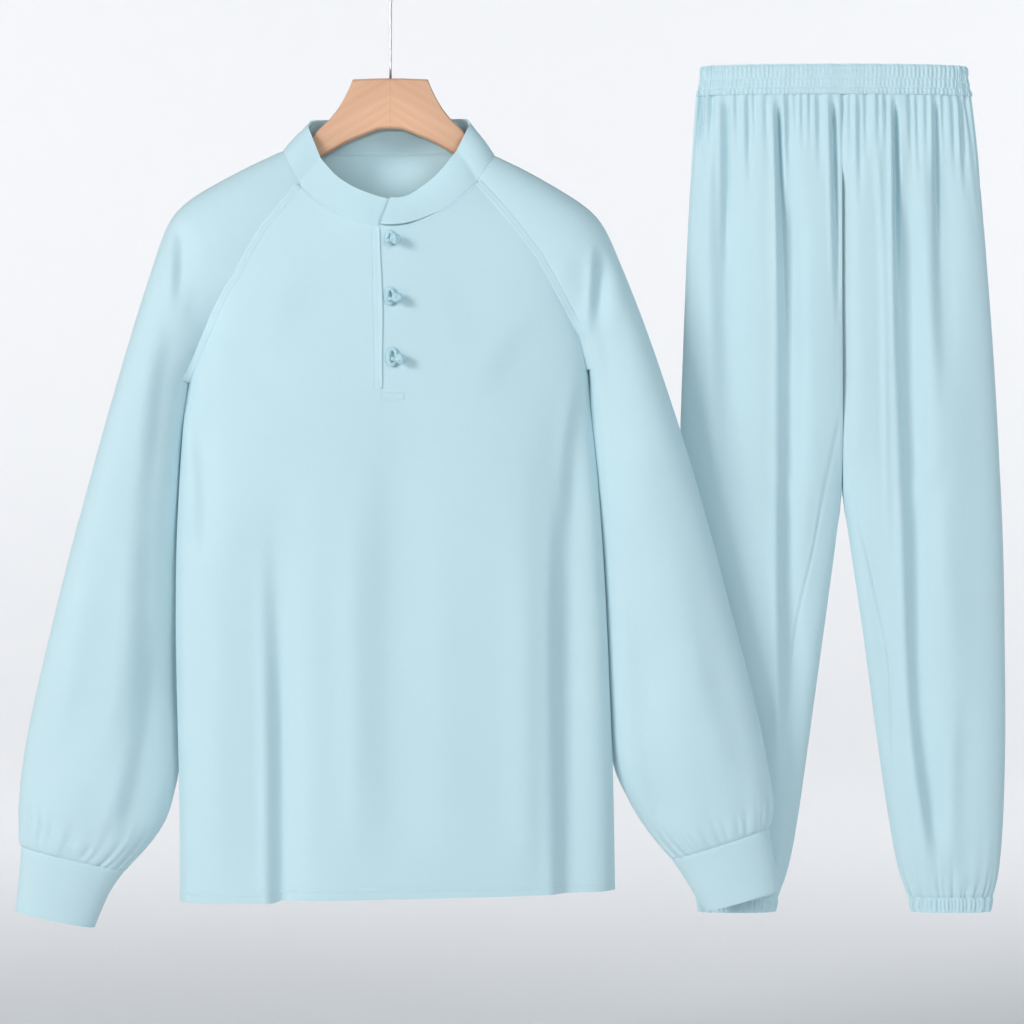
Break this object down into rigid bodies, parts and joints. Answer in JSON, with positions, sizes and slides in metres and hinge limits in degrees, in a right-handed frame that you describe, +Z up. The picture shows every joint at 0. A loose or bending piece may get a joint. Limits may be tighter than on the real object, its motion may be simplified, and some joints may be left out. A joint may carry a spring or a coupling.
{
  "type": "tai chi uniform on hanger",
  "caption": "Loose raglan pullover with stand collar, half placket and knot buttons on a wooden hanger, with matching elastic waist and ankle trousers beside it",
  "frame": {"origin": "inside top of the hanger's hook, where a rail carries it", "axes": "+Z up, -Y out of the garment's front, +X towards the wearer's left, the right of the picture"},
  "size_m": [1.1014, 0.15, 1.0819],
  "materials": {
    "cloth": "smooth light blue woven cloth with a soft sheen",
    "wood": "pale sanded wood with faint grain",
    "steel": "bright drawn wire"
  },
  "bodies": {
    "root": {"front": "cloth", "back": "cloth", "sleeve_left": "cloth", "sleeve_right": "cloth", "cuff_left": "cloth", "cuff_right": "cloth", "collar": "cloth", "placket": "cloth", "button_1": "cloth", "button_2": "cloth", "button_3": "cloth", "loop_1": "cloth", "loop_2": "cloth", "loop_3": "cloth", "waistband": "cloth", "leg_left": "cloth", "leg_right": "cloth", "ankle_left": "cloth", "ankle_right": "cloth", "hanger": "wood", "hook": "steel"}
  },
  "joints": []
}
